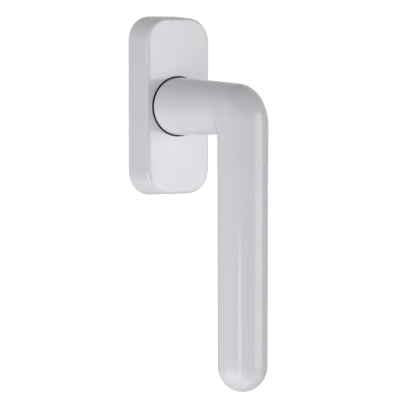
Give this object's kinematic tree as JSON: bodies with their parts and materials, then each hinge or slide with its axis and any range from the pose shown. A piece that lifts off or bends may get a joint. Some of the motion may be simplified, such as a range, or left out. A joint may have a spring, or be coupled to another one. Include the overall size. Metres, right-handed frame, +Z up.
{
  "type": "tilt and turn window handle",
  "caption": "Tilt and turn window handle: a round L-shaped white nylon grip on a slim rectangular rose with hidden screws, a quarter-turn detent and a square spindle.",
  "frame": {"origin": "on the spindle axis, in the plane of the sash face that the rose is screwed to", "axes": "+Z up along the sash, the grip points to -Z at rest (window closed); -Y stands out into the room and +Y goes into the sash, along the spindle; +X to the right seen from the room"},
  "size_m": [0.0296, 0.0866, 0.142],
  "materials": {
    "white_nylon": "glossy moulded white polyamide",
    "black_polymer": "black acetal bearing ring",
    "natural_polymer": "natural acetal washer",
    "cast_alloy": "plain die-cast alloy",
    "plated_steel": "zinc-plated steel",
    "spring_steel": "dark spring steel"
  },
  "bodies": {
    "rose_base": {"base_plate": "cast_alloy", "keeper_plate": "plated_steel", "detent_spring_left": "spring_steel", "detent_spring_right": "spring_steel", "cover_spring_upper": "spring_steel", "cover_spring_lower": "spring_steel", "fixing_screw_upper": "plated_steel", "fixing_screw_lower": "plated_steel", "keeper_screw_upper_left": "plated_steel", "keeper_screw_upper_right": "plated_steel", "keeper_screw_lower_left": "plated_steel", "keeper_screw_lower_right": "plated_steel", "slide_washer": "natural_polymer", "guide_ring": "black_polymer"},
    "handle": {"grip_sleeve": "white_nylon", "grip_core": "plated_steel", "neck_hub": "plated_steel", "core_pin": "spring_steel", "spindle_pin": "spring_steel", "square_spindle": "plated_steel", "detent_cam": "plated_steel", "thrust_washer": "plated_steel", "retaining_ring": "spring_steel"},
    "cover": {"rose_cover": "white_nylon"}
  },
  "joints": [
    {"name": "handle_turn", "type": "hinge", "parent": "rose_base", "child": "handle", "pos_m": [0, 0, 0], "axis": [0, -1, 0], "range_deg": [0, 180], "deforming": ["detent_spring_left", "detent_spring_right"]},
    {"name": "cover_lift", "type": "slide", "parent": "rose_base", "child": "cover", "axis": [0, -1, 0], "range_m": [0, 0.034], "deforming": ["cover_spring_upper", "cover_spring_lower"]}
  ]
}
